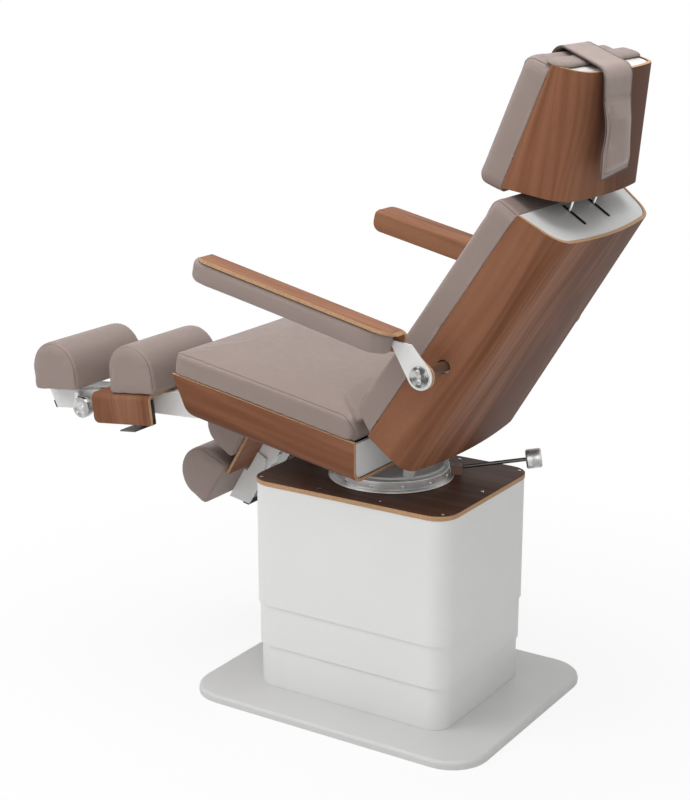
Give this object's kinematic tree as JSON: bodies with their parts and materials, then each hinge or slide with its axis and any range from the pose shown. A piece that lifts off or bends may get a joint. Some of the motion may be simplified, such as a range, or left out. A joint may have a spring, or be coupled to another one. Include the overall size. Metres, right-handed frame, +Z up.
{
  "type": "pedicure chair",
  "caption": "Electric pedicure chair: telescopic column on a floor plate, swivelling and tilting seat, reclining back, headrest, flip-up armrests and separate leg rests with foot rolls.",
  "frame": {"origin": "middle of the floor plate's underside", "axes": "+Z up, the sitter faces -Y, +X is the sitter's left"},
  "size_m": [0.794, 1.4145, 1.5153],
  "materials": {
    "white": "satin",
    "plate_grey": "satin",
    "walnut": "satin",
    "leather": "matte",
    "aluminium": "satin",
    "chrome": "polished",
    "steel": "satin",
    "brown": "satin",
    "black": "matte"
  },
  "bodies": {
    "base": {"column_lower_shell": "white", "floor_plate": "plate_grey", "lift_motor": "black", "lift_tube_outer": "steel"},
    "middle_stage": {"column_middle_shell": "white", "lift_tube_middle": "steel"},
    "carriage": {"column_upper_shell": "white", "lift_tube_inner": "steel", "ring_flange": "aluminium", "top_plate": "walnut"},
    "swivel": {"seat_carrier": "white", "swivel_ring": "aluminium"},
    "brake_lever": {"brake_clamp": "brown", "brake_knob": "aluminium", "brake_rod": "steel"},
    "seat": {"leg_hinge_pin": "chrome", "seat_cushion": "leather", "seat_end_plate": "white", "seat_frame": "steel", "seat_shell": "walnut", "tilt_actuator": "black", "tilt_pin": "chrome"},
    "back": {"arm_shaft_left": "brown", "arm_shaft_right": "brown", "back_cushion": "leather", "back_end_plate": "plate_grey", "back_frame": "steel", "back_shell": "walnut"},
    "headrest_swing": {"headrest_sleeve": "black"},
    "headrest": {"headrest_block": "black", "headrest_cushion": "leather", "headrest_rods": "chrome", "headrest_shell": "walnut", "headrest_strap": "leather", "headrest_top_plate": "white", "neck_roll": "leather"},
    "arm_left": {"arm_bracket_left": "white", "arm_disc_left": "steel", "arm_pad_left": "leather", "arm_shell_left": "walnut"},
    "arm_right": {"arm_bracket_right": "white", "arm_disc_right": "steel", "arm_pad_right": "leather", "arm_shell_right": "walnut"},
    "leg_left": {"calf_cover_left": "walnut", "calf_roll_left": "leather", "leg_beam_left": "white"},
    "foot_left": {"foot_bracket_left": "white", "foot_roll_left": "leather", "slide_rods_left": "chrome"},
    "clamp_left": {"clamp_knob_left": "aluminium"},
    "tongue_left": {"release_tongue_left": "steel"},
    "leg_right": {"calf_cover_right": "walnut", "calf_roll_right": "leather", "leg_beam_right": "white"},
    "foot_right": {"foot_bracket_right": "white", "foot_roll_right": "leather", "slide_rods_right": "chrome"},
    "clamp_right": {"clamp_knob_right": "aluminium"},
    "tongue_right": {"release_tongue_right": "steel"}
  },
  "joints": [
    {"name": "lift", "type": "slide", "parent": "base", "child": "carriage", "axis": [0, 0, 1], "range_m": [-0.15, 0.2]},
    {"name": "lift_middle", "type": "slide", "parent": "base", "child": "middle_stage", "axis": [0, 0, 1], "range_m": [-0.075, 0.1]},
    {"name": "swivel_turn", "type": "hinge", "parent": "carriage", "child": "swivel", "pos_m": [0, 0, 0.5346], "axis": [0, 0, 1], "continuous": true},
    {"name": "brake_swing", "type": "hinge", "parent": "swivel", "child": "brake_lever", "pos_m": [-0.07425, 0.1286, 0.545], "axis": [0, 0, 1], "range_deg": [-8, 8]},
    {"name": "seat_tilt", "type": "hinge", "parent": "swivel", "child": "seat", "pos_m": [0, 0.1, 0.614], "axis": [-1, 0, 0], "range_deg": [-8, 6]},
    {"name": "back_recline", "type": "hinge", "parent": "seat", "child": "back", "pos_m": [0, 0.112, 0.672], "axis": [-1, 0, 0], "range_deg": [-7, 32]},
    {"name": "headrest_tilt", "type": "hinge", "parent": "back", "child": "headrest_swing", "pos_m": [0, 0.4142, 1.07092], "axis": [-1, 0, 0], "range_deg": [-3, 16]},
    {"name": "headrest_height", "type": "slide", "parent": "headrest_swing", "child": "headrest", "axis": [0, 0.309, 0.9511], "range_m": [0, 0.07]},
    {"name": "arm_left_flip", "type": "hinge", "parent": "back", "child": "arm_left", "pos_m": [0, 0.2735, 0.8775], "axis": [-1, 0, 0], "range_deg": [0, 95]},
    {"name": "arm_right_flip", "type": "hinge", "parent": "back", "child": "arm_right", "pos_m": [0, 0.2735, 0.8775], "axis": [-1, 0, 0], "range_deg": [0, 95]},
    {"name": "leg_left_raise", "type": "hinge", "parent": "seat", "child": "leg_left", "pos_m": [0, -0.329, 0.7275], "axis": [-1, 0, 0], "range_deg": [-54, 8]},
    {"name": "foot_left_slide", "type": "slide", "parent": "leg_left", "child": "foot_left", "axis": [0, -0.9939, -0.1106], "range_m": [-0.085, 0.02]},
    {"name": "clamp_left_turn", "type": "hinge", "parent": "foot_left", "child": "clamp_left", "pos_m": [0, -0.72576, 0.63103], "axis": [1, 0, 0], "range_deg": [-180, 180]},
    {"name": "tongue_left_squeeze", "type": "hinge", "parent": "leg_left", "child": "tongue_left", "pos_m": [0, -0.55013, 0.65761], "axis": [-1, 0, 0], "range_deg": [-8, 8], "stiffness_Nm_per_rad": 2},
    {"name": "leg_right_raise", "type": "hinge", "parent": "seat", "child": "leg_right", "pos_m": [0, -0.329, 0.7275], "axis": [-1, 0, 0], "range_deg": [0, 58]},
    {"name": "foot_right_slide", "type": "slide", "parent": "leg_right", "child": "foot_right", "axis": [0, -0.512, -0.859], "range_m": [0, 0.095]},
    {"name": "clamp_right_turn", "type": "hinge", "parent": "foot_right", "child": "clamp_right", "pos_m": [0, -0.45382, 0.41656], "axis": [1, 0, 0], "range_deg": [-180, 180]},
    {"name": "tongue_right_squeeze", "type": "hinge", "parent": "leg_right", "child": "tongue_right", "pos_m": [0, -0.40684, 0.50904], "axis": [-1, 0, 0], "range_deg": [-8, 8], "stiffness_Nm_per_rad": 2}
  ],
  "couplings": [
    {"joint": "lift_middle", "follows": "lift", "ratio": 0.5}
  ]
}
